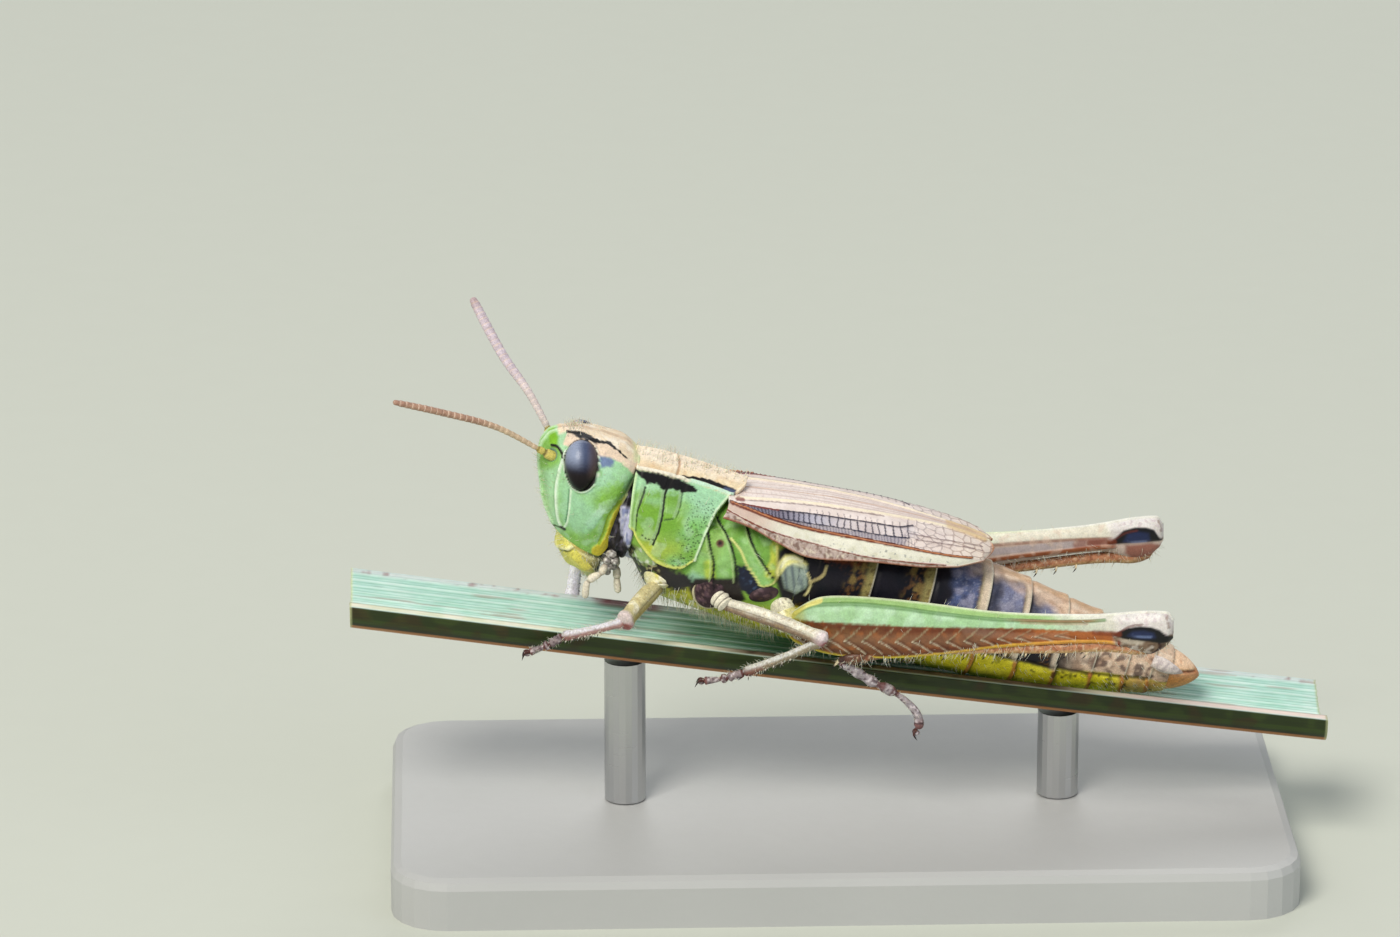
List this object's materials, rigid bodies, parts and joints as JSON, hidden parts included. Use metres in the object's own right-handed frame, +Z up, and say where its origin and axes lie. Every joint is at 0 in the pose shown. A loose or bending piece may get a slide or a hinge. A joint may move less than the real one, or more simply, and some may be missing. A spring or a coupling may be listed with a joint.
{
  "type": "grasshopper",
  "caption": "Still, life-size model of a meadow grasshopper gripping a short cut length of grass blade, on a plain display stand.",
  "frame": {"origin": "centre of the stand base's underside", "axes": "-X towards the head, +X along the insect to its tail, -Y towards its left side, +Z up"},
  "size_m": [0.0282, 0.013, 0.0161],
  "materials": {
    "chitin_green": "green cuticle, satin",
    "chitin_yellow": "yellow cuticle, satin",
    "chitin_dark": "blue-black cuticle, glossy",
    "chitin_tan": "pale brown cuticle, satin",
    "membrane": "dark folded joint skin, matt",
    "eye_brown": "dark compound eye, glossy",
    "feeler_tan": "ringed pinkish brown cuticle, matt",
    "wing_tan": "leathery wing skin with raised veins, satin",
    "leg_cream": "cream and brown cuticle, satin",
    "leg_brown": "dark brown cuticle, satin",
    "leg_green": "green and rust brown cuticle, satin",
    "leg_tan": "tan cuticle, satin",
    "blade_green": "fresh grass blade, ribbed, satin",
    "stand_grey": "light grey acrylic, satin",
    "stand_steel": "brushed"
  },
  "bodies": {
    "root": {"abdomen": "chitin_dark", "antenna_left": "feeler_tan", "antenna_right": "feeler_tan", "cercus_left": "chitin_tan", "cercus_right": "chitin_tan", "eye_left": "eye_brown", "eye_right": "eye_brown", "fore_coxa_left": "leg_brown", "fore_coxa_right": "leg_brown", "fore_femur_left": "leg_cream", "fore_femur_right": "leg_cream", "fore_tarsus_left": "leg_brown", "fore_tarsus_right": "leg_brown", "fore_tibia_left": "leg_cream", "fore_tibia_right": "leg_cream", "head": "chitin_green", "hind_coxa_left": "leg_brown", "hind_coxa_right": "leg_brown", "hind_femur_left": "leg_green", "hind_femur_right": "leg_green", "hind_tarsus_left": "leg_brown", "hind_tarsus_right": "leg_brown", "hind_tibia_left": "leg_tan", "hind_tibia_right": "leg_tan", "labial_palp_left": "chitin_tan", "labial_palp_right": "chitin_tan", "labrum": "chitin_yellow", "mandible_left": "chitin_yellow", "mandible_right": "chitin_yellow", "maxillary_palp_left": "chitin_tan", "maxillary_palp_right": "chitin_tan", "mid_coxa_left": "leg_brown", "mid_coxa_right": "leg_brown", "mid_femur_left": "leg_cream", "mid_femur_right": "leg_cream", "mid_tarsus_left": "leg_brown", "mid_tarsus_right": "leg_brown", "mid_tibia_left": "leg_cream", "mid_tibia_right": "leg_cream", "neck": "membrane", "ovipositor": "chitin_tan", "perch_blade": "blade_green", "pronotum": "chitin_green", "stand_base": "stand_grey", "stand_rod_front": "stand_steel", "stand_rod_rear": "stand_steel", "tegmen_left": "wing_tan", "tegmen_right": "wing_tan", "thorax": "chitin_green"}
  },
  "joints": []
}
